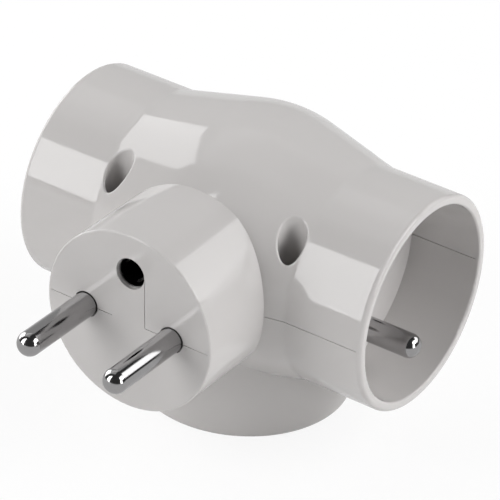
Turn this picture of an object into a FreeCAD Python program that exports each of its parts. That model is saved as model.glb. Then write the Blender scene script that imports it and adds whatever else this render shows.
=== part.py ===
import FreeCAD, Part
import math
import os
import Sketcher

# A three-way mains adapter: one earthed plug at the front and three round recessed sockets, one at each
# end of a swollen cross tube and one underneath, on whose rim the adapter stands.
#
# Millimetres. The origin is the middle of the plug's flat face, between its two pins. The plug points
# along -Y, the two side sockets look along -X and +X, and the third looks down, along -Z. The plane
# z = 0 holds the plug's pins and is where the two halves of the housing meet.

SIZES = [
    ("socket_span", "77.0", "rim to rim of the two side sockets"),
    ("face_to_axis", "38.9", "plug face back to the axis of the side sockets"),
    ("base_drop", "32.0", "axis of the side sockets down to the rim it stands on"),
    ("cup_radius", "21.2", "outside of a side socket"),
    ("cup_wall", "1.96", "wall of a side socket round its recess"),
    ("base_wall", "1.76", "wall of the bottom socket round its recess"),
    ("recess_depth", "15.0", "depth of a socket's recess"),
    ("ridge_rise", "5.27", "corner of the swelling beyond a side socket's outside, before its round"),
    ("ridge_round", "26.4", "round over the top of the swelling"),
    ("swell_end", "21.9", "half the length of the swelling along the axis"),
    ("swell_blend", "4.0", "hollow round where the swelling runs out"),
    ("plug_radius", "18.1", "outside of the plug"),
    ("face_round", "0.4", "rounded edge of the plug's face"),
    ("rim_round", "0.9", "outer round of a socket's rim"),
    ("lip_round", "0.45", "inner round of a socket's rim"),
    ("wall", "2.0", "wall of the housing"),
    ("disc_wall", "2.5", "thickness of the face in each socket"),
    ("face_wall", "2.5", "thickness of the plug's face"),
    ("seam_gap", "0.12", "width of the fine groove where the parting line shows"),
    ("seam_depth", "0.4", "depth of that groove"),
    ("seam_margin", "0.6", "groove's ends in from the edge of the plug's face"),
    ("tab_width", "7.3", "tab that closes the slot of an earth pin or earth hole"),
    ("tab_top", "6.3", "width of the tapered tab in the plug's face at the earth hole"),
    ("pin_spacing", "19.0", "between the two live pins, and between the two live holes"),
    ("earth_offset", "10.0", "earth pin of a socket away from the line of its live holes"),
    ("earth_rise", "10.2", "earth hole in the plug's face above the line of the pins"),
    ("pin_radius", "2.4", "every pin"),
    ("pin_tip", "2.2", "round of a pin's tip"),
    ("pin_length", "19.0", "plug pin beyond the face"),
    ("pin_neck", "2.0", "thinner stretch of a plug pin in the thickness of the face"),
    ("pin_root", "2.6", "thicker root of a plug pin behind the face"),
    ("root_relief", "0.1", "how far inside the face a pin's own thickness ends"),
    ("pin_hole", "2.6", "hole round a plug pin in the face"),
    ("fit_clearance", "0.05", "between a metal piece and the seat that holds it"),
    ("collar_radius", "3.6", "collar that keeps a pin from moving along its axis"),
    ("collar_width", "1.5", "width of a plug pin's collar"),
    ("saddle_wall", "2.0", "wall behind the plug's face that holds the pins and the sleeve"),
    ("saddle_slack", "0.1", "play of a collar between the face and the saddle wall"),
    ("shank_radius", "2.0", "thinner rear end of a plug pin"),
    ("tail_start", "10.0", "face to the front of the plates riveted on the plug pins"),
    ("tail_radius", "1.5", "rivet end through a plate"),
    ("rivet_radius", "2.2", "head of a rivet end"),
    ("rivet_height", "0.8", "height of a rivet head"),
    ("earth_hole", "3.1", "earth hole in the plug's face"),
    ("live_hole", "2.75", "live hole in a socket"),
    ("earth_pin_reach", "14.8", "earth pin above the face in its socket"),
    ("earth_root", "2.65", "root of a socket's earth pin, in the face"),
    ("earth_collar", "1.0", "width of the collar behind that face"),
    ("sheet", "0.8", "thickness of the brass sheet"),
    ("bend_round", "0.5", "inner round of a bend in the sheet"),
    ("clip_gap", "4.7", "between the two leaves of a contact clip"),
    ("clip_top", "5.0", "top of a contact bar above the parting plane"),
    ("clip_low", "3.0", "end of a side clip's leaves below the parting plane"),
    ("bar_clearance", "0.3", "between a contact bar and the columns and ribs that it passes"),
    ("clip_width", "5.0", "width of a side clip along the bar"),
    ("middle_clip_width", "6.0", "width of the middle clip along the bar"),
    ("middle_clip_lift", "0.3", "middle clip's leaves above the bottom socket's face"),
    ("tongue_width", "4.6", "tongue that runs from a contact bar to a plug pin"),
    ("bridge_top", "9.0", "top of the tongue that crosses over the front bar"),
    ("strap_width", "6.0", "width of the earth strap"),
    ("strap_run", "7.4", "top of the earth strap's forward run"),
    ("strap_tab", "3.5", "earth plate beyond the centre of what is riveted in it"),
    ("sleeve_radius", "3.4", "outside of the earth sleeve"),
    ("sleeve_bore", "2.9", "inside of the earth sleeve"),
    ("sleeve_inset", "0.9", "seat of the earth sleeve's front end behind the plug's face"),
    ("sleeve_end", "14.2", "face to the shoulder of the earth sleeve"),
    ("sleeve_floor", "1.5", "solid rear end of the earth sleeve"),
    ("sleeve_slot", "0.7", "slots that let the earth sleeve spring"),
    ("screw_inset", "1.71", "screw's centre, in from the back of a side socket's face"),
    ("screw_cover", "5.25", "screw's centre, in from the front or back of the side sockets"),
    ("well_radius", "2.58", "well above a screw"),
    ("well_floor", "3.0", "floor of the well above the parting plane"),
    ("well_round", "0.4", "rounded mouth of a well"),
    ("column_wall", "1.0", "wall of the column round a well"),
    ("screw_radius", "1.5", "shank of a screw"),
    ("screw_head", "2.4", "head of a screw"),
    ("screw_head_height", "1.9", "height of that head"),
    ("screw_head_round", "0.8", "rounded top of that head"),
    ("screw_length", "13.0", "screw under its head"),
    ("screw_clearance", "0.2", "round a screw in the upper half"),
    ("screw_slot", "0.8", "width of the cross in a screw's head"),
    ("slot_reach", "1.6", "arms of that cross from the middle"),
    ("slot_floor", "0.6", "floor of that cross above the underside of the head"),
    ("rib", "1.5", "thickness of a rib"),
    ("rest_width", "7.0", "post under a side clip, front to back"),
]

PAST = 3.0         # how far a cutting tool stands out past what it cuts
NEAR = 0.01        # places closer together than this are the same
SAMPLES = 9        # points looked at along an edge
UP = FreeCAD.Vector(0, 0, 1)
DOWN = FreeCAD.Vector(0, 0, -1)
RIGHT = FreeCAD.Vector(1, 0, 0)
LEFT = FreeCAD.Vector(-1, 0, 0)
BACK = FreeCAD.Vector(0, 1, 0)

doc = FreeCAD.newDocument("adapter")
table = doc.addObject("Spreadsheet::Sheet", "Sizes")


class Size:
    """A length that carries its number and the expression on the sheet that gives it."""

    def __init__(self, text, value):
        self.text = text
        self.value = value

    def __add__(self, other):
        other = as_size(other)
        return Size(f"({self.text} + {other.text})", self.value + other.value)

    def __sub__(self, other):
        other = as_size(other)
        return Size(f"({self.text} - {other.text})", self.value - other.value)

    def __mul__(self, other):
        other = as_size(other)
        return Size(f"({self.text} * {other.text})", self.value * other.value)

    def __truediv__(self, other):
        other = as_size(other)
        return Size(f"({self.text} / {other.text})", self.value / other.value)

    def __neg__(self):
        return Size(f"(-1 * {self.text})", -self.value)


def as_size(number):
    """Give a plain number the same form as a size from the sheet."""
    return number if isinstance(number, Size) else Size(str(number), float(number))


def lesser(first, second):
    """The smaller of two sizes."""
    return Size(f"min({first.text}; {second.text})", min(first.value, second.value))


def fill_sheet():
    """Write every driving dimension on the sheet and hand each back as a size under its own name."""
    sizes = {}
    for row, (alias, number, meaning) in enumerate(SIZES, start=1):
        table.set(f"A{row}", alias)
        table.set(f"B{row}", number)
        table.set(f"C{row}", meaning)
        table.setAlias(f"B{row}", alias)
        sizes[alias] = Size(f"Sizes.{alias}", float(number))
    doc.recompute()
    return sizes


def bind(item, field, amount):
    """Set a field of a document object and tie it to the sheet."""
    amount = as_size(amount)
    if "Sizes." in amount.text:
        item.setExpression(field, amount.text)
    else:
        setattr(item, field, amount.value)


def place(item, at, rotation=None):
    """Put a document object at a point whose coordinates are tied to the sheet."""
    spot = [as_size(amount) for amount in at]
    base = FreeCAD.Vector(*[amount.value for amount in spot])
    item.Placement = FreeCAD.Placement(base, rotation or FreeCAD.Rotation())
    for letter, amount in zip("xyz", spot):
        if "Sizes." in amount.text:
            item.setExpression(f"Placement.Base.{letter}", amount.text)


def block(name, across, along, height):
    """A box between two values in x, two in y and two in z."""
    box = doc.addObject("Part::Box", name)
    for field, (low, high) in zip(("Length", "Width", "Height"), (across, along, height)):
        bind(box, field, as_size(high) - low)
    place(box, [across[0], along[0], height[0]])
    return box


def rod(name, radius, length, at, direction):
    """A cylinder from a point along a direction."""
    cylinder = doc.addObject("Part::Cylinder", name)
    bind(cylinder, "Radius", radius)
    bind(cylinder, "Height", length)
    place(cylinder, at, FreeCAD.Rotation(UP, direction))
    return cylinder


def join(name, pieces):
    fused = doc.addObject("Part::MultiFuse", name)
    fused.Shapes = pieces
    return fused


def cut(name, base, tool):
    result = doc.addObject("Part::Cut", name)
    result.Base = base
    result.Tool = tool
    return result


def shared(name, first, second):
    result = doc.addObject("Part::MultiCommon", name)
    result.Shapes = [first, second]
    return result


def pin_down(sketch, geometry, point, across, up):
    """Fix a point of a sketch by its two coordinates, each tied to the sheet."""
    for kind, amount, axis in (("DistanceX", across, -2), ("DistanceY", up, -1)):
        if amount.text == "0":
            sketch.addConstraint(Sketcher.Constraint("PointOnObject", geometry, point, axis))
            continue
        index = sketch.addConstraint(
            Sketcher.Constraint(kind, -1, 1, geometry, point, amount.value))
        if "Sizes." in amount.text:
            sketch.setExpression(f"Constraints[{index}]", amount.text)


def round_corner(sketch, corner, before, after, ends, spot):
    """Join two lines by an arc tangent to both, its radius tied to the sheet."""
    across, up, rounding = corner
    start, end = ends
    back = start - spot
    inward = (start + end) * 0.5 - spot
    half_angle = back.getAngle(inward)
    far = rounding.value / math.sin(half_angle)
    middle = spot + inward.normalize() * (far - rounding.value)
    arc = sketch.addGeometry(Part.Arc(start, middle, end), False)
    first = 1 if sketch.getPoint(arc, 1).isEqual(start, 1e-6) else 2
    last = 3 - first
    sketch.addConstraint(Sketcher.Constraint("Tangent", before, 2, arc, first))
    sketch.addConstraint(Sketcher.Constraint("Tangent", arc, last, after, 1))
    index = sketch.addConstraint(Sketcher.Constraint("Radius", arc, rounding.value))
    if "Sizes." in rounding.text:
        sketch.setExpression(f"Constraints[{index}]", rounding.text)
    mark = sketch.addGeometry(Part.Point(spot), True)
    pin_down(sketch, mark, 1, across, up)
    sketch.addConstraint(Sketcher.Constraint("PointOnObject", mark, 1, before))
    sketch.addConstraint(Sketcher.Constraint("PointOnObject", mark, 1, after))


def draw_outline(sketch, corners):
    """Draw a closed outline. Each corner is its two coordinates and, where it is rounded, a radius."""
    corners = [tuple(as_size(item) for item in corner) for corner in corners]
    spots = [FreeCAD.Vector(corner[0].value, corner[1].value, 0) for corner in corners]
    ends = []
    for index, corner in enumerate(corners):
        spot = spots[index]
        if len(corner) == 2:
            ends.append((spot, spot))
            continue
        back = (spots[index - 1] - spot).normalize()
        ahead = (spots[(index + 1) % len(spots)] - spot).normalize()
        reach = corner[2].value / math.tan(back.getAngle(ahead) / 2)
        ends.append((spot + back * reach, spot + ahead * reach))
    lines = []
    for index in range(len(corners)):
        start = ends[index][1]
        end = ends[(index + 1) % len(corners)][0]
        lines.append(sketch.addGeometry(Part.LineSegment(start, end), False))
    for index, corner in enumerate(corners):
        before, after = lines[index - 1], lines[index]
        if len(corner) == 2:
            sketch.addConstraint(Sketcher.Constraint("Coincident", before, 2, after, 1))
            pin_down(sketch, after, 1, corner[0], corner[1])
        else:
            round_corner(sketch, corner, before, after, ends[index], spots[index])


def sketch_in(body, plane):
    """Start a sketch on one of a body's own planes."""
    sketch = body.newObject("Sketcher::SketchObject", f"{body.Name}_outline")
    flat = [item for item in body.Origin.OriginFeatures if item.Role == plane][0]
    sketch.AttachmentSupport = [(flat, "")]
    sketch.MapMode = "FlatFace"
    return sketch


def turned(name, corners, at, direction):
    """Turn an outline round its own long axis. Corners are distance along the axis and radius."""
    body = doc.addObject("PartDesign::Body", name)
    sketch = sketch_in(body, "XY_Plane")
    draw_outline(sketch, corners)
    turn = body.newObject("PartDesign::Revolution", f"{name}_turn")
    turn.Profile = sketch
    turn.ReferenceAxis = (sketch, ["H_Axis"])
    turn.Angle = 360
    place(body, at, FreeCAD.Rotation(RIGHT, direction))
    return body


def carried(name, plane, corners, length, at):
    """An outline drawn on one of a body's planes, carried a length along that plane's normal."""
    body = doc.addObject("PartDesign::Body", name)
    sketch = sketch_in(body, plane)
    draw_outline(sketch, corners)
    pad = body.newObject("PartDesign::Pad", f"{name}_pad")
    pad.Profile = sketch
    bind(pad, "Length", length)
    place(body, at)
    return body


def folded(name, corners, start, end):
    """Sheet whose edge is drawn front to back and up, carried along X from start to end."""
    return carried(name, "YZ_Plane", corners, as_size(end) - start, [start, 0, 0])


def upright(name, corners, front, back):
    """An outline drawn across and up, carried between two values in y."""
    return carried(name, "XZ_Plane", corners, as_size(back) - front, [0, back, 0])


size = fill_sheet()

half_span = size["socket_span"] / 2
axis_y = size["face_to_axis"]
disc_face = half_span - size["recess_depth"]
disc_back = disc_face - size["disc_wall"]
floor_face = size["base_drop"] - size["recess_depth"]
floor_back = floor_face - size["disc_wall"]
half_spacing = size["pin_spacing"] / 2
front_y = axis_y - half_spacing
rear_y = axis_y + half_spacing
half_tab = size["tab_width"] / 2
half_top = size["tab_top"] / 2
half_gap = size["seam_gap"] / 2
saddle_front = size["face_wall"] + size["collar_width"] + size["saddle_slack"]
saddle_back = saddle_front + size["saddle_wall"]
recess_radius = size["cup_radius"] - size["cup_wall"]
base_radius = recess_radius + size["base_wall"]
ridge_radius = size["cup_radius"] + size["ridge_rise"]
screw_x = disc_back - size["screw_inset"]
screw_y = size["cup_radius"] - size["screw_cover"]
column_radius = size["well_radius"] + size["column_wall"]
clip_end = screw_x - column_radius - size["bar_clearance"]
rib_place = clip_end - size["clip_width"] / 2 - size["rib"] / 2
half_tongue = size["tongue_width"] / 2
tongue_x = lesser(half_spacing, clip_end - half_tongue)
bar_riser = rear_y - size["clip_gap"] / 2 - size["sheet"]
far_out = size["socket_span"]


def body_corners(inset):
    """Half section of the cross tube with its two recesses, or the same drawn inset from its skin."""
    face = disc_face - inset
    rim = half_span - inset
    bore = recess_radius + inset
    cup = size["cup_radius"] - inset
    ridge = ridge_radius - inset
    return face, rim, bore, cup, ridge


def cross_tube(name):
    """The cross tube: two cups back to back on a round swelling, turned about the side sockets' axis."""
    face, rim, bore, cup, ridge = body_corners(as_size(0))
    lip, edge, blend = size["lip_round"], size["rim_round"], size["swell_blend"]
    end = size["swell_end"]
    corners = [
        (-face, 0), (face, 0), (face, bore), (rim, bore, lip), (rim, cup, edge),
        (end, cup, blend), (0, ridge, size["ridge_round"]), (-end, cup, blend),
        (-rim, cup, edge), (-rim, bore, lip), (-face, bore),
    ]
    return turned(name, corners, [0, axis_y, 0], RIGHT)


def cross_tube_core(name):
    """What lies deeper in the cross tube's walls than the groove of the parting line."""
    face, rim, bore, cup, ridge = body_corners(size["seam_depth"])
    end = size["swell_end"]
    corners = [
        (-face, 0), (face, 0), (face, bore), (rim, bore), (rim, cup), (end, cup), (0, ridge),
        (-end, cup), (-rim, cup), (-rim, bore), (-face, bore),
    ]
    return turned(name, corners, [0, axis_y, 0], RIGHT)


def plug_form(name):
    """The round plug, from its face back into the cross tube."""
    radius = size["plug_radius"]
    corners = [(0, 0), (axis_y, 0), (axis_y, radius), (0, radius, size["face_round"])]
    return turned(name, corners, [0, 0, 0], BACK)


def base_ring(name):
    """The bottom socket's wall, with the rim that the adapter stands on."""
    drop = size["base_drop"]
    corners = [
        (floor_back, recess_radius), (drop, recess_radius, size["lip_round"]),
        (drop, base_radius, size["rim_round"]), (floor_back, base_radius),
    ]
    return turned(name, corners, [0, axis_y, 0], DOWN)


def screw_spots():
    """The four screws, as points of the parting plane."""
    for x_side in (-1, 1):
        for y_side in (-1, 1):
            yield (screw_x * x_side, axis_y + screw_y * y_side)


def on_circle(edge, centre, radius):
    """True where an edge stays at one distance from a vertical line."""
    spots = edge.discretize(SAMPLES)
    return all(abs(math.hypot(spot.x - centre[0], spot.y - centre[1]) - radius) < NEAR
               for spot in spots)


def skin_form():
    """The whole outside of the housing as one solid, wells and bottom recess cut, mouths rounded."""
    trunk = join("trunk", [cross_tube("cross_tube"), plug_form("plug_form")])
    recess = rod("bottom_recess", recess_radius, size["base_drop"],
                 [0, axis_y, -floor_face], DOWN)
    hollowed = cut("trunk_recessed", trunk, recess)
    skin = join("skin", [hollowed, base_ring("base_ring")])
    wells = []
    for index, (x, y) in enumerate(screw_spots()):
        wells.append(rod(f"well_{index}", size["well_radius"], ridge_radius,
                         [x, y, size["well_floor"]], UP))
    drilled = cut("skin_drilled", skin, join("wells", wells))
    doc.recompute()
    rounded = doc.addObject("Part::Fillet", "skin_rounded")
    rounded.Base = drilled
    picked = []
    for index, edge in enumerate(drilled.Shape.Edges, start=1):
        low = min(spot.z for spot in edge.discretize(SAMPLES))
        if low < size["well_floor"].value + NEAR:
            continue
        for x, y in screw_spots():
            if on_circle(edge, (x.value, y.value), size["well_radius"].value):
                picked.append((index, size["well_round"].value, size["well_round"].value))
    rounded.Edges = picked
    return rounded


def hollow_form():
    """The room inside: the swelling less its wall, and the plug's bore, above the bottom socket."""
    wall = size["wall"]
    cup = size["cup_radius"] - wall
    corners = [
        (-disc_back, 0), (disc_back, 0), (disc_back, cup),
        (0, ridge_radius - wall, size["ridge_round"] - wall), (-disc_back, cup),
    ]
    swelling = turned("room", corners, [0, axis_y, 0], RIGHT)
    bore = rod("plug_bore", size["plug_radius"] - wall, axis_y - size["face_wall"],
               [0, size["face_wall"], 0], BACK)
    kept = rod("bottom_socket_mass", base_radius, size["base_drop"],
               [0, axis_y, -floor_back], DOWN)
    return cut("hollow", join("rooms", [swelling, bore]), kept)


def furniture():
    """Ribs, posts and screw columns inside the housing, still as plain blocks and rods."""
    pieces = [rod("saddle", size["plug_radius"] - size["wall"] / 2, size["saddle_wall"],
                  [0, saddle_front, 0], BACK)]
    rest = size["rest_width"] / 2
    for index, (x, y) in enumerate(screw_spots()):
        pieces.append(rod(f"column_{index}", column_radius, ridge_radius * 2,
                          [x, y, -ridge_radius], UP))
    for side, hand in ((-1, "left"), (1, "right")):
        near = rib_place * side
        far = (rib_place + size["rib"]) * side
        span = (near, far) if side > 0 else (far, near)
        pieces.append(block(f"{hand}_hold_down", span, (front_y - rest, rear_y + rest),
                            (size["clip_top"], ridge_radius)))
        for y, row in ((front_y, "front"), (rear_y, "rear")):
            pieces.append(block(f"{hand}_{row}_post", span, (y - rest, y + rest),
                                (-floor_face, -size["clip_low"])))
    pieces.append(rod("strap_rest", size["collar_radius"], size["earth_collar"] + size["disc_wall"],
                      [-size["earth_offset"], axis_y, -floor_face], UP))
    return cut("furniture", join("furniture_blocks", pieces), join("tongue_ways", tongue_ways()))


def tongue_ways():
    """The clear way that each contact bar's tongue keeps on its run to its plug pin."""
    clear = size["bar_clearance"]
    half = half_tongue + clear
    start = size["tail_start"] - clear
    low = size["clip_top"] - size["sheet"] - clear
    return [
        block("front_way", (-tongue_x - half, -tongue_x + half), (start, front_y),
              (low, size["clip_top"])),
        block("rear_way", (tongue_x - half, tongue_x + half), (start, bar_riser + clear),
              (size["clip_top"], size["bridge_top"] + clear)),
    ]


def holes(face_tab):
    """Every round hole through the housing, and the fine grooves of its parting line."""
    tools = []
    shaft = size["pin_root"] + size["fit_clearance"]
    earth = size["earth_offset"]
    for side, hand in ((-1, "left"), (1, "right")):
        x = half_spacing * side
        tools.append(rod(f"{hand}_pin_hole", size["pin_hole"], size["face_wall"] + PAST,
                         [x, -PAST, 0], BACK))
        tools.append(rod(f"{hand}_pin_seat", shaft, size["saddle_wall"] + size["saddle_slack"] * 2,
                         [x, saddle_front - size["saddle_slack"], 0], BACK))
        out = RIGHT if side > 0 else LEFT
        inner = (disc_back - size["rib"]) * side
        depth = size["disc_wall"] + size["rib"] + PAST
        tools.append(rod(f"{hand}_earth_seat", size["earth_root"] + size["fit_clearance"], depth,
                         [inner, axis_y, -earth], out))
        for y, row in ((front_y, "front"), (rear_y, "rear")):
            tools.append(rod(f"{hand}_{row}_hole", size["live_hole"], depth, [inner, y, 0], out))
    rise = size["earth_rise"]
    tools.append(rod("earth_entry", size["earth_hole"], size["face_wall"] + PAST,
                     [0, -PAST, rise], BACK))
    tools.append(rod("sleeve_seat", size["sleeve_radius"] + size["fit_clearance"],
                     saddle_back + size["saddle_slack"] - size["sleeve_inset"],
                     [0, size["sleeve_inset"], rise], BACK))
    drop = size["disc_wall"] + size["rib"] + PAST
    for y, row in ((front_y, "front"), (rear_y, "rear")):
        tools.append(rod(f"bottom_{row}_hole", size["live_hole"], drop,
                         [0, y, -floor_back + size["rib"]], DOWN))
    tools.append(rod("bottom_earth_seat", size["earth_root"] + size["fit_clearance"], drop,
                     [earth, axis_y, -floor_back + size["rib"]], DOWN))
    for index, (x, y) in enumerate(screw_spots()):
        tools.append(rod(f"screw_way_{index}", size["screw_radius"] + size["screw_clearance"],
                         size["well_floor"] + PAST, [x, y, 0], UP))
        tools.append(rod(f"screw_pilot_{index}", size["screw_radius"] + size["fit_clearance"],
                         size["screw_length"] - size["well_floor"] + size["fit_clearance"],
                         [x, y, 0], DOWN))
        tools.append(rod(f"screw_well_{index}", size["well_radius"], ridge_radius,
                         [x, y, size["well_floor"]], UP))
    return join("holes", tools + seam_grooves(face_tab))


def seam_grooves(face_tab):
    """The parting line where it shows: across the plug's face, up its tab, along and in the right cup."""
    depth = size["seam_depth"]
    level = (-half_gap, half_gap)
    across = size["plug_radius"] - size["seam_margin"]
    face = cut("face_groove", block("face_slab", (-across, across), (-PAST, depth), level), face_tab)
    tab = upright("tab_groove", [
        (half_tab - half_gap, 0), (half_tab + half_gap, 0),
        (half_top + half_gap, size["earth_rise"]), (half_top - half_gap, size["earth_rise"]),
    ], -PAST, depth)
    span = (size["plug_radius"], half_span - size["rim_round"])
    slab = block("cup_slab", span, (axis_y - far_out, axis_y), level)
    recess = block("recess_groove", (disc_face, half_span - size["rim_round"]),
                   (axis_y, axis_y + recess_radius + depth), level)
    return [face, tab, cut("cup_groove", slab, cross_tube_core("cross_tube_core")), recess]


def tab_rooms():
    """The space of the tab in the plug's face, and of those in the two side sockets' faces."""
    earth = size["earth_offset"]
    rise = size["earth_rise"]
    face_tab = upright("face_tab", [
        (-half_tab, -half_gap), (half_tab, -half_gap), (half_top, rise), (-half_top, rise),
    ], -PAST, saddle_back + size["saddle_slack"])
    tabs = []
    for side, hand in ((-1, "left"), (1, "right")):
        span = (disc_back - PAST, disc_face + PAST)
        if side < 0:
            span = (-disc_face - PAST, -disc_back + PAST)
        tabs.append(block(f"{hand}_socket_tab", span, (axis_y - half_tab, axis_y + half_tab),
                          (-earth, half_gap)))
    return face_tab, join("socket_tabs", tabs)


def lower_zone(face_tab, socket_tabs):
    """The space of the lower half: below the parting plane with the plug's tab, less the others."""
    below = block("below_parting", (-far_out, far_out), (-far_out, far_out), (-far_out, 0))
    return cut("lower_zone", join("lower_room", [below, face_tab]), socket_tabs)


def make_shells():
    """Cut the whole housing into its upper and lower halves."""
    skin = skin_form()
    hollow = hollow_form()
    ribs = shared("ribs_inside", furniture(), skin)
    face_tab, socket_tabs = tab_rooms()
    housing = cut("housing", join("ribbed", [cut("walls", skin, hollow), ribs]),
                  holes(face_tab))
    zone = lower_zone(face_tab, socket_tabs)
    return {
        "upper_shell": cut("upper_half", housing, zone),
        "lower_shell": shared("lower_half", housing, zone),
    }


def pin_tail(start, plate):
    """Corners of a rivet end: through a plate, then its spread head."""
    head = plate + size["rivet_height"]
    return [(start, size["tail_radius"]), (plate, size["tail_radius"]),
            (plate, size["rivet_radius"]), (head, size["rivet_radius"]), (head, 0)]


def make_plug_pins():
    """Two round-ended plug pins, necked in the face, with a collar behind it and a riveted tail."""
    pins = {}
    radius = size["pin_radius"]
    collar = size["face_wall"] + size["collar_width"]
    shank = saddle_back + size["saddle_slack"]
    for side, hand in ((-1, "left"), (1, "right")):
        corners = [
            (-size["pin_length"], 0), (-size["pin_length"], radius, size["pin_tip"]),
            (size["root_relief"], radius), (size["root_relief"], size["pin_neck"]),
            (size["face_wall"], size["pin_neck"]), (size["face_wall"], size["collar_radius"]),
            (collar, size["collar_radius"]), (collar, size["pin_root"]), (shank, size["pin_root"]),
            (shank, size["shank_radius"]), (size["tail_start"], size["shank_radius"]),
        ] + pin_tail(size["tail_start"], size["tail_start"] + size["sheet"])
        pins[f"plug_pin_{hand}"] = turned(f"plug_pin_{hand}", corners,
                                          [half_spacing * side, 0, 0], BACK)
    return pins


def earth_pin_corners(face):
    """Corners of a socket's earth pin, as distance out from the socket's far side, face at `face`."""
    radius = size["pin_radius"]
    tip = face + size["earth_pin_reach"]
    back = face - size["disc_wall"]
    plate_top = back - size["earth_collar"]
    plate_low = plate_top - size["sheet"]
    head = plate_low - size["rivet_height"]
    relief = face - size["root_relief"]
    return [
        (head, 0), (head, size["rivet_radius"]), (plate_low, size["rivet_radius"]),
        (plate_low, size["tail_radius"]), (plate_top, size["tail_radius"]),
        (plate_top, size["collar_radius"]), (back, size["collar_radius"]),
        (back, size["earth_root"]), (relief, size["earth_root"]), (relief, radius),
        (tip, radius, size["pin_tip"]), (tip, 0),
    ]


def make_earth_pins():
    """The earth pin that stands in each socket."""
    earth = size["earth_offset"]
    return {
        "earth_pin_left": turned("earth_pin_left", earth_pin_corners(disc_face),
                                 [0, axis_y, -earth], LEFT),
        "earth_pin_right": turned("earth_pin_right", earth_pin_corners(disc_face),
                                  [0, axis_y, -earth], RIGHT),
        "earth_pin_bottom": turned("earth_pin_bottom", earth_pin_corners(floor_face),
                                   [earth, axis_y, 0], DOWN),
    }


def clip_corners(y, low):
    """Section of a contact clip: an upturned U of sheet over a plug's pin, its leaves reaching low."""
    inner = size["clip_gap"] / 2
    outer = inner + size["sheet"]
    top = size["clip_top"]
    under = top - size["sheet"]
    inside, outside = size["bend_round"], size["bend_round"] + size["sheet"]
    return [
        (y - outer, low), (y - inner, low), (y - inner, under, inside), (y + inner, under, inside),
        (y + inner, low), (y + outer, low), (y + outer, top, outside), (y - outer, top, outside),
    ]


def contact_bar(name, y, tongue_pieces):
    """One live bar: a web with three clips, joined to a tongue whose foot is riveted on a plug pin."""
    inner = size["clip_gap"] / 2
    top = size["clip_top"]
    end = clip_end
    middle = size["middle_clip_width"] / 2
    deep = -(floor_back - size["middle_clip_lift"])
    web = block(f"{name}_web", (-end, end), (y - inner, y + inner), (top - size["sheet"], top))
    pieces = [web, folded(f"{name}_middle", clip_corners(y, deep), -middle, middle)]
    low = -size["clip_low"]
    pieces.append(folded(f"{name}_left", clip_corners(y, low), -end, -end + size["clip_width"]))
    pieces.append(folded(f"{name}_right", clip_corners(y, low), end - size["clip_width"], end))
    return join(name, pieces + tongue_pieces)


def rivet_hole(name, x):
    """The hole in a tongue that a plug pin's tail fills."""
    return rod(name, size["tail_radius"], size["sheet"] + PAST * 2,
               [x, size["tail_start"] - PAST, 0], BACK)


def make_contact_bars():
    """The front bar runs straight to the left pin; the rear one bridges over it to the right pin."""
    plate = size["tail_start"]
    low = -size["clip_low"]
    top = size["clip_top"]
    bridge = size["bridge_top"]
    thick = size["sheet"]
    inside, outside = size["bend_round"], size["bend_round"] + thick
    front = folded("front_tongue", [
        (plate, low), (plate + thick, low), (plate + thick, top - thick, inside),
        (front_y, top - thick), (front_y, top), (plate, top, outside),
    ], -tongue_x - half_tongue, -tongue_x + half_tongue)
    rear = folded("rear_tongue", [
        (plate, low), (plate + thick, low), (plate + thick, bridge - thick, inside),
        (bar_riser, bridge - thick, inside), (bar_riser, top - thick, outside),
        (rear_y, top - thick), (rear_y, top), (bar_riser + thick, top, inside),
        (bar_riser + thick, bridge, outside), (plate, bridge, outside),
    ], tongue_x - half_tongue, tongue_x + half_tongue)
    bars = {}
    for row, y, side, tongue in (("front", front_y, -1, front), ("rear", rear_y, 1, rear)):
        x = half_spacing * side
        foot = block(f"{row}_foot", (x - half_tongue, x + half_tongue), (plate, plate + thick),
                     (low, -low))
        sheet = contact_bar(f"{row}_bar_sheet", y, [tongue, foot])
        bars[f"{row}_contact_bar"] = cut(f"{row}_bar", sheet, rivet_hole(f"{row}_rivet_hole", x))
    return bars


def make_earth_strap():
    """One strip from the sleeve back, down the middle and out to the three earth pins."""
    thick = size["sheet"]
    inside, outside = size["bend_round"], size["bend_round"] + thick
    half = size["strap_width"] / 2
    earth = size["earth_offset"]
    plate = size["sleeve_end"]
    run = size["strap_run"]
    bed = -(floor_back - size["earth_collar"])
    rise = size["earth_rise"]
    riser = folded("strap_riser", [
        (plate, run - thick, outside), (axis_y - thick / 2, run - thick, inside),
        (axis_y - thick / 2, bed), (axis_y + thick / 2, bed), (axis_y + thick / 2, run, outside),
        (plate + thick, run, inside), (plate + thick, rise + size["strap_tab"]),
        (plate, rise + size["strap_tab"]),
    ], -half, half)
    outer = disc_back - size["earth_collar"]
    inner = outer - thick
    lift = -earth + size["strap_tab"]
    cross = upright("strap_cross", [
        (-outer, lift), (-outer, bed, outside), (outer, bed, outside), (outer, lift),
        (inner, lift), (inner, bed + thick, inside), (-inner, bed + thick, inside), (-inner, lift),
    ], axis_y - half, axis_y + half)
    rivets = [
        rod("strap_left_rivet", size["tail_radius"], thick + PAST, [-inner, axis_y, -earth], LEFT),
        rod("strap_right_rivet", size["tail_radius"], thick + PAST, [inner, axis_y, -earth], RIGHT),
        rod("strap_bottom_rivet", size["tail_radius"], thick + PAST,
            [earth, axis_y, bed - thick], UP),
        rod("strap_sleeve_rivet", size["tail_radius"], thick + PAST,
            [0, plate - thick, rise], BACK),
    ]
    whole = join("strap_whole", [riser, cross])
    return {"earth_strap": cut("strap", whole, join("strap_rivets", rivets))}


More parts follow.
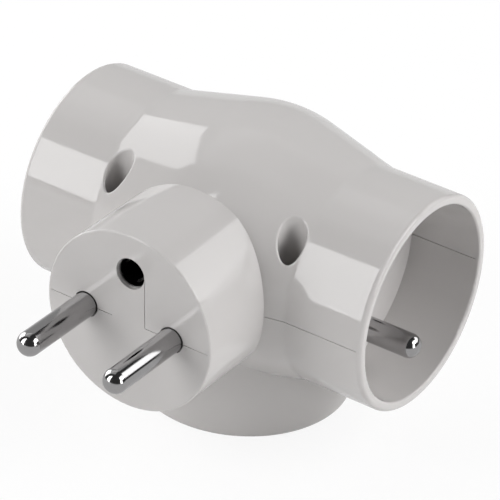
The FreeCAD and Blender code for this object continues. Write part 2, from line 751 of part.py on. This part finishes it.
def make_earth_sleeve():
    """The sprung sleeve behind the plug's earth hole, slit along its sides, riveted to the strap."""
    rise = size["earth_rise"]
    front = size["sleeve_inset"] + size["fit_clearance"]
    end = size["sleeve_end"]
    floor = end - size["sleeve_floor"]
    corners = [(front, size["sleeve_bore"]), (front, size["sleeve_radius"]),
               (end, size["sleeve_radius"])]
    corners += pin_tail(end, end + size["sheet"])
    corners += [(floor, 0), (floor, size["sleeve_bore"])]
    tube = turned("sleeve_tube", corners, [0, 0, rise], BACK)
    half = size["sleeve_slot"] / 2
    radius = size["sleeve_radius"] + PAST
    ends = (front + size["sleeve_floor"], floor - size["sleeve_floor"])
    slots = [
        block("sleeve_slot_upright", (-half, half), ends, (rise - radius, rise + radius)),
        block("sleeve_slot_level", (-radius, radius), ends, (rise - half, rise + half)),
    ]
    return {"earth_sleeve": cut("sleeve", tube, join("sleeve_slots", slots))}


def make_screws():
    """Four cross-headed screws that clamp the two halves, as one group of separate solids."""
    head_top = size["screw_head_height"]
    radius = size["screw_head"]
    shank = size["screw_radius"]
    length = size["screw_length"]
    screws = []
    for index, (x, y) in enumerate(screw_spots()):
        corners = [(-length, 0), (-length + shank, shank), (0, shank), (0, radius),
                   (head_top, radius, size["screw_head_round"]), (head_top, 0)]
        turned_screw = turned(f"screw_blank_{index}", corners, [x, y, size["well_floor"]], UP)
        half = size["screw_slot"] / 2
        arm = size["slot_reach"]
        deep = size["well_floor"] + size["slot_floor"]
        level = (deep, size["well_floor"] + head_top + PAST)
        cross = join(f"screw_cross_{index}", [
            block(f"screw_arm_across_{index}", (x - arm, x + arm), (y - half, y + half), level),
            block(f"screw_arm_along_{index}", (x - half, x + half), (y - arm, y + arm), level),
        ])
        screws.append(cut(f"screw_{index}", turned_screw, cross))
    group = doc.addObject("Part::Compound", "screws")
    group.Links = screws
    return {"housing_screws": group}


def check(parts):
    """Stop if any object of the document failed or any sub-part isn't a sound solid."""
    for item in doc.Objects:
        if "Invalid" in item.State or "Error" in item.State:
            raise RuntimeError(f"{item.Name} did not compute: {item.State}")
    for label, item in parts.items():
        if item.Shape.isNull() or not item.Shape.isValid() or not item.Shape.Solids:
            raise RuntimeError(f"{label} is not a sound solid")


def main():
    parts = {}
    parts.update(make_shells())
    parts.update(make_plug_pins())
    parts.update(make_contact_bars())
    parts.update(make_earth_sleeve())
    parts.update(make_earth_strap())
    parts.update(make_earth_pins())
    parts.update(make_screws())
    for label, item in parts.items():
        item.Label = label
    doc.recompute()
    check(parts)
    os.makedirs("parts", exist_ok=True)
    for label, item in parts.items():
        item.Shape.exportStep(f"parts/{label}.step")
        box = item.Shape.BoundBox
        print(f"{label}: {len(item.Shape.Solids)} solids, {item.Shape.Volume:.1f} mm3, "
              f"x {box.XMin:.2f} {box.XMax:.2f}, y {box.YMin:.2f} {box.YMax:.2f}, "
              f"z {box.ZMin:.2f} {box.ZMax:.2f}")


main()
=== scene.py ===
import math

import bpy
from mathutils import Matrix, Vector


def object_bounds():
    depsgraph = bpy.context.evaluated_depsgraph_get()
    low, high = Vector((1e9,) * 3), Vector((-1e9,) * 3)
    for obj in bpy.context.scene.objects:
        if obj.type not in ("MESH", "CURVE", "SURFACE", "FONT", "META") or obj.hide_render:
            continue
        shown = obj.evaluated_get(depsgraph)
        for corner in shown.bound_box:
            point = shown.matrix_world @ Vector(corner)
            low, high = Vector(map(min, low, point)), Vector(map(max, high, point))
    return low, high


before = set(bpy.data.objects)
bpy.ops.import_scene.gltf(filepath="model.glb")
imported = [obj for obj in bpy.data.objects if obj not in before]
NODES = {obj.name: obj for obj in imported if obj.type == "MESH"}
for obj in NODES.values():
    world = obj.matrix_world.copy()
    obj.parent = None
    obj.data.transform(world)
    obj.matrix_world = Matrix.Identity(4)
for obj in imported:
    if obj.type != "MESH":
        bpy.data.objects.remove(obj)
CAD_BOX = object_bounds()

MM = 0.001

# The camera, fitted to the photograph in the part's own frame. Angles are in degrees.
VIEW_AZIMUTH = 32.93
VIEW_ELEVATION = 31.85
VIEW_ROLL = 3.36
VIEW_DISTANCE = 730.7 * MM
VIEW_SHIFT_RIGHT = -0.19 * MM
VIEW_SHIFT_UP = -3.02 * MM
VIEW_NEAREST = 10 * MM
FOCAL_PIXELS = 3901.2
FRAME_PIXELS = 500
SENSOR = 36.0
SOCKET_AXIS = Vector((0, 38.9 * MM, 0))
UP = Vector((0, 0, 1))

# Colours, linear.
PLASTIC = (0.562, 0.545, 0.537)
NICKEL = (0.415, 0.41, 0.412)
BRASS = (0.72, 0.50, 0.20)
STEEL = (0.30, 0.30, 0.31)
FLOOR = (0.96, 0.96, 0.96)
WHITE = (1.0, 1.0, 1.0)

# Noise goes by its waves in a metre. Shades are the darkest and lightest that a colour is multiplied
# by, and a gloss is a pair of roughnesses, both with the noise going from one to the other.
DETAIL = 2.0
PLASTIC_CLOUDS = 60
PLASTIC_CLOUD_DETAIL = 3
PLASTIC_SHADES = (0.985, 1.015)
PLASTIC_SKIN = 350
PLASTIC_GLOSS = (0.06, 0.10)
PLASTIC_IOR = 1.5
RIPPLES = 420
RIPPLE_DETAIL = 1
RIPPLE_STRENGTH = 0.05
RIPPLE_DEPTH = 0.1 * MM
METAL_CLOUDS = 900
METAL_CLOUD_DETAIL = 3
METAL_SHADES = (0.94, 1.04)
METAL_SKIN = 2600
SCRATCHES = 4200
SCRATCH_DEPTH = 0.02 * MM

# A metal's colour, its gloss and how strong its scratches are.
METALS = {
    "nickel_plate": (NICKEL, (0.10, 0.16), 0.10),
    "bright_brass": (BRASS, (0.20, 0.30), 0.10),
    "zinc_steel": (STEEL, (0.28, 0.38), 0.15),
}

# The earth sleeve is plated at its front edge, and dull inside, where painted shade makes it nearly
# black. That inside starts behind the first of these, round an axis at the second, and has the third as
# its radius.
SLEEVE_FRONT = 1.2 * MM
SLEEVE_RISE = 10.2 * MM
SLEEVE_BORE = 3.0 * MM
SLEEVE_SHADES = (0.95, 1.05)
SLEEVE_PAINTED_SHADE = 0.02
SLEEVE_GLOSS = (0.15, 0.6)

# What each node of the part is made of.
FINISHES = {
    "housing_plastic": ("upper_shell", "lower_shell"),
    "nickel_plate": ("plug_pin_left", "plug_pin_right", "earth_pin_left", "earth_pin_right",
                     "earth_pin_bottom"),
    "bright_brass": ("front_contact_bar", "rear_contact_bar", "earth_strap"),
    "zinc_steel": ("housing_screws",),
    "sleeve_plate": ("earth_sleeve",),
}

# The upright soft panels round the part. Each stands between two places, given as an azimuth and a
# distance, and reaches from one height to another above the side sockets' axis, in metres. Its
# brightness is what it looks like from the part, where 1 is white.
PANELS = {
    "front_left_near_panel": ((-20, 0.65), (-29.5, 0.80), (-0.03, 0.97), 5.4),
    "front_left_far_panel": ((-29.5, 0.80), (-46, 1.45), (0.075, 0.97), 5.4),
    "left_panel": ((-76.5, 0.98), (-119, 1.60), (0.00, 1.03), 2.9),
    "right_low_panel": ((75, 1.00), (93, 1.00), (0.00, 0.40), 5.6),
    "right_high_panel": ((80, 1.00), (127, 1.00), (0.40, 1.10), 5.8),
    "rear_right_panel": ((131, 1.00), (167, 1.00), (0.25, 0.92), 2.5),
    "rear_left_wall": ((-78, 2.00), (-175, 2.00), (0.00, 2.60), 0.4),
}
# The level panel overhead, which meets the top of the rear left wall. It lies behind and to the left of
# a corner that is given in metres from the side sockets' axis, and it is turned by some degrees.
CANOPY_CORNER = Vector((-0.07, -0.39, 2.60))
CANOPY_TURN = 8.5
CANOPY_WIDTH = 1.9
CANOPY_DEPTH = 2.3
CANOPY_BRIGHTNESS = 0.5
SURROUND_BRIGHTNESS = 0.05

# The floor reaches this far each way, in metres. It is this much plain white where the camera or a
# mirrored ray meets it, and the rest is its own shaded paint. In mirrored rays that white is dimmer.
FLOOR_REACH = 40.0
FLOOR_WHITENESS = 0.88
MIRRORED_FLOOR = 0.68

# Where Blender's mix node keeps its factor, its two colours and the colour that comes out.
MIX_FACTOR, MIX_FIRST, MIX_SECOND, MIX_RESULT = 0, 6, 7, 2


class Nodes:
    """A short way to build a material's node tree."""

    def __init__(self, name):
        self.material = bpy.data.materials.new(name)
        self.material.use_nodes = True
        self.tree = self.material.node_tree
        self.tree.nodes.clear()
        self.output = self.add("ShaderNodeOutputMaterial")

    def add(self, kind, **inputs):
        """Add a node and fill the inputs that are named, with _ for each blank."""
        node = self.tree.nodes.new(kind)
        for name, value in inputs.items():
            self.put(node.inputs[name.replace("_", " ")], value)
        return node

    def put(self, socket, value):
        """Give an input a value, or tie it to another node's output."""
        if isinstance(value, bpy.types.NodeSocket):
            self.tree.links.new(value, socket)
        else:
            socket.default_value = value

    def place(self):
        """The object's own coordinates, which are the part's, in metres."""
        return self.add("ShaderNodeTexCoord").outputs["Object"]

    def noise(self, scale, detail=DETAIL):
        """A cloudy factor from 0 to 1."""
        node = self.add("ShaderNodeTexNoise", Scale=scale, Detail=detail, Vector=self.place())
        return node.outputs["Fac"]

    def maths(self, operation, *values):
        """One sum on numbers or outputs."""
        node = self.tree.nodes.new("ShaderNodeMath")
        node.operation = operation
        for socket, value in zip(node.inputs, values):
            self.put(socket, value)
        return node.outputs[0]

    def between(self, factor, ends):
        """Carry a factor from 0 to 1 over to the range between two ends."""
        low, high = ends
        return self.add("ShaderNodeMapRange", Value=factor, To_Min=low, To_Max=high).outputs["Result"]

    def blend(self, factor, first, second):
        """Mix two colours."""
        node = self.tree.nodes.new("ShaderNodeMix")
        node.data_type = "RGBA"
        self.put(node.inputs[MIX_FACTOR], factor)
        self.put(node.inputs[MIX_FIRST], first)
        self.put(node.inputs[MIX_SECOND], second)
        return node.outputs[MIX_RESULT]

    def clouds(self, colour, scale, detail, shades):
        """A colour that drifts between two shades of itself."""
        darkest, lightest = shades
        return self.blend(self.noise(scale, detail), shade(colour, darkest), shade(colour, lightest))

    def bump(self, height, strength, distance):
        """A surface that rises and falls with a factor."""
        return self.add("ShaderNodeBump", Strength=strength, Distance=distance,
                        Height=height).outputs["Normal"]

    def finish(self, shader):
        """Close the tree with its shader and hand back the material."""
        self.tree.links.new(shader, self.output.inputs["Surface"])
        return self.material


def shade(colour, amount):
    """A colour made lighter or darker."""
    return tuple(channel * amount for channel in colour) + (1.0,)


def plastic_material():
    """Glossy moulded plastic: faint cloudiness, a polished skin with a trace of flow."""
    build = Nodes("housing_plastic")
    colour = build.clouds(PLASTIC, PLASTIC_CLOUDS, PLASTIC_CLOUD_DETAIL, PLASTIC_SHADES)
    gloss = build.between(build.noise(PLASTIC_SKIN), PLASTIC_GLOSS)
    ripple = build.bump(build.noise(RIPPLES, RIPPLE_DETAIL), RIPPLE_STRENGTH, RIPPLE_DEPTH)
    shader = build.add("ShaderNodeBsdfPrincipled", Base_Color=colour, Roughness=gloss,
                       IOR=PLASTIC_IOR, Normal=ripple)
    return build.finish(shader.outputs["BSDF"])


def metal_material(name):
    """Metal with fine scratches in its polish."""
    colour, polish, strength = METALS[name]
    build = Nodes(name)
    tint = build.clouds(colour, METAL_CLOUDS, METAL_CLOUD_DETAIL, METAL_SHADES)
    gloss = build.between(build.noise(METAL_SKIN), polish)
    scratch = build.bump(build.noise(SCRATCHES), strength, SCRATCH_DEPTH)
    shader = build.add("ShaderNodeBsdfPrincipled", Base_Color=tint, Metallic=1.0,
                       Roughness=gloss, Normal=scratch)
    return build.finish(shader.outputs["BSDF"])


def sleeve_material():
    """The earth sleeve's plating, and painted shade that makes its inside nearly black."""
    build = Nodes("sleeve_plate")
    axes = build.add("ShaderNodeSeparateXYZ", Vector=build.place()).outputs
    rise = build.maths("SUBTRACT", axes["Z"], SLEEVE_RISE)
    radius = build.maths("SQRT", build.maths("ADD", build.maths("MULTIPLY", axes["X"], axes["X"]),
                                             build.maths("MULTIPLY", rise, rise)))
    inside = build.maths("MULTIPLY", build.maths("LESS_THAN", radius, SLEEVE_BORE),
                         build.maths("GREATER_THAN", axes["Y"], SLEEVE_FRONT))
    tint = build.clouds(NICKEL, METAL_CLOUDS, METAL_CLOUD_DETAIL, SLEEVE_SHADES)
    # Painted shade: the sleeve's inside is coloured nearly black, as shade deep in the hole.
    colour = build.blend(inside, tint, shade(NICKEL, SLEEVE_PAINTED_SHADE))
    gloss = build.between(inside, SLEEVE_GLOSS)
    shader = build.add("ShaderNodeBsdfPrincipled", Base_Color=colour, Metallic=1.0,
                       Roughness=gloss)
    return build.finish(shader.outputs["BSDF"])


def dress_part():
    """Give every CAD node its material."""
    materials = {name: metal_material(name) for name in METALS}
    materials["housing_plastic"] = plastic_material()
    materials["sleeve_plate"] = sleeve_material()
    for name, nodes in FINISHES.items():
        for node in nodes:
            mesh = NODES[node].data
            mesh.materials.clear()
            mesh.materials.append(materials[name])


def direction(azimuth, elevation):
    """From the part toward a place round it. Azimuth 0 is in front of the plug, 90 to the right."""
    a, e = math.radians(azimuth), math.radians(elevation)
    return Vector((math.sin(a) * math.cos(e), -math.cos(a) * math.cos(e), math.sin(e)))


def place_camera():
    """The photograph's camera."""
    back = direction(VIEW_AZIMUTH, VIEW_ELEVATION)
    level = Vector((-back.y, back.x, 0)).normalized()
    upright = back.cross(level)
    roll = math.radians(VIEW_ROLL)
    right = level * math.cos(roll) + upright * math.sin(roll)
    up = upright * math.cos(roll) - level * math.sin(roll)
    spot = SOCKET_AXIS + back * VIEW_DISTANCE + right * VIEW_SHIFT_RIGHT + up * VIEW_SHIFT_UP
    camera = bpy.data.objects.new("camera", bpy.data.cameras.new("camera"))
    turn = Matrix((right, up, back)).transposed().to_4x4()
    camera.matrix_world = Matrix.Translation(spot) @ turn
    camera.data.sensor_width = SENSOR
    camera.data.lens = FOCAL_PIXELS / FRAME_PIXELS * SENSOR
    camera.data.clip_start = VIEW_NEAREST
    bpy.context.scene.collection.objects.link(camera)
    bpy.context.scene.camera = camera


def place_light(name, width, height, brightness, middle, turn):
    """A soft rectangle of light whose middle is given from the side sockets' axis."""
    data = bpy.data.lights.new(name, "AREA")
    data.shape = "RECTANGLE"
    data.size = width
    data.size_y = height
    data.energy = brightness * math.pi * width * height
    light = bpy.data.objects.new(name, data)
    light.matrix_world = Matrix.Translation(SOCKET_AXIS + middle) @ turn
    light.visible_camera = False
    bpy.context.scene.collection.objects.link(light)


def place_panel(name, first, last, heights, brightness):
    """An upright soft panel between two places, lit on the side that faces the part."""
    start, end = [direction(azimuth, 0) * distance for azimuth, distance in (first, last)]
    low, high = heights
    along = (end - start).normalized()
    back = along.cross(UP)
    if back.dot(start + end) < 0:
        along, back = -along, -back
    turn = Matrix((along, UP, back)).transposed().to_4x4()
    middle = (start + end) / 2 + UP * (low + high) / 2
    place_light(name, (end - start).length, high - low, brightness, middle, turn)


def place_canopy():
    """The level soft panel overhead, lit on its underside."""
    turn = Matrix.Rotation(math.radians(CANOPY_TURN), 4, "Z")
    middle = CANOPY_CORNER + turn @ Vector((-CANOPY_WIDTH / 2, CANOPY_DEPTH / 2, 0))
    place_light("canopy", CANOPY_WIDTH, CANOPY_DEPTH, CANOPY_BRIGHTNESS, middle, turn)


def light_world():
    """A dim even surround."""
    world = bpy.data.worlds.new("surround")
    world.use_nodes = True
    even = world.node_tree.nodes["Background"]
    even.inputs["Color"].default_value = WHITE + (1.0,)
    even.inputs["Strength"].default_value = SURROUND_BRIGHTNESS
    bpy.context.scene.world = world


def floor_material():
    """White paint that keeps the part's shadow and looks nearly plain white to the camera."""
    build = Nodes("floor_white")
    path = build.add("ShaderNodeLightPath").outputs
    seen = build.maths("MAXIMUM", path["Is Camera Ray"],
                       build.maths("MAXIMUM", path["Is Glossy Ray"], path["Is Transmission Ray"]))
    matt = build.add("ShaderNodeBsdfDiffuse", Color=FLOOR + (1.0,)).outputs["BSDF"]
    glow = build.between(path["Is Glossy Ray"], (1.0, MIRRORED_FLOOR))
    white = build.add("ShaderNodeEmission", Strength=glow).outputs["Emission"]
    mix = build.add("ShaderNodeMixShader", Fac=build.maths("MULTIPLY", seen, FLOOR_WHITENESS))
    build.put(mix.inputs[1], matt)
    build.put(mix.inputs[2], white)
    return build.finish(mix.outputs["Shader"])


def make_floor():
    """A white floor at the height of the rim that the part stands on."""
    level = CAD_BOX[0].z
    near, far = -FLOOR_REACH, FLOOR_REACH
    mesh = bpy.data.meshes.new("floor")
    mesh.from_pydata([(near, near, level), (far, near, level), (far, far, level), (near, far, level)],
                     [], [(0, 1, 2, 3)])
    floor = bpy.data.objects.new("floor", mesh)
    bpy.context.scene.collection.objects.link(floor)
    mesh.materials.append(floor_material())


bpy.context.scene.view_settings.view_transform = "Standard"

dress_part()
light_world()
make_floor()
place_camera()
for name, (first, last, heights, brightness) in PANELS.items():
    place_panel(name, first, last, heights, brightness)
place_canopy()
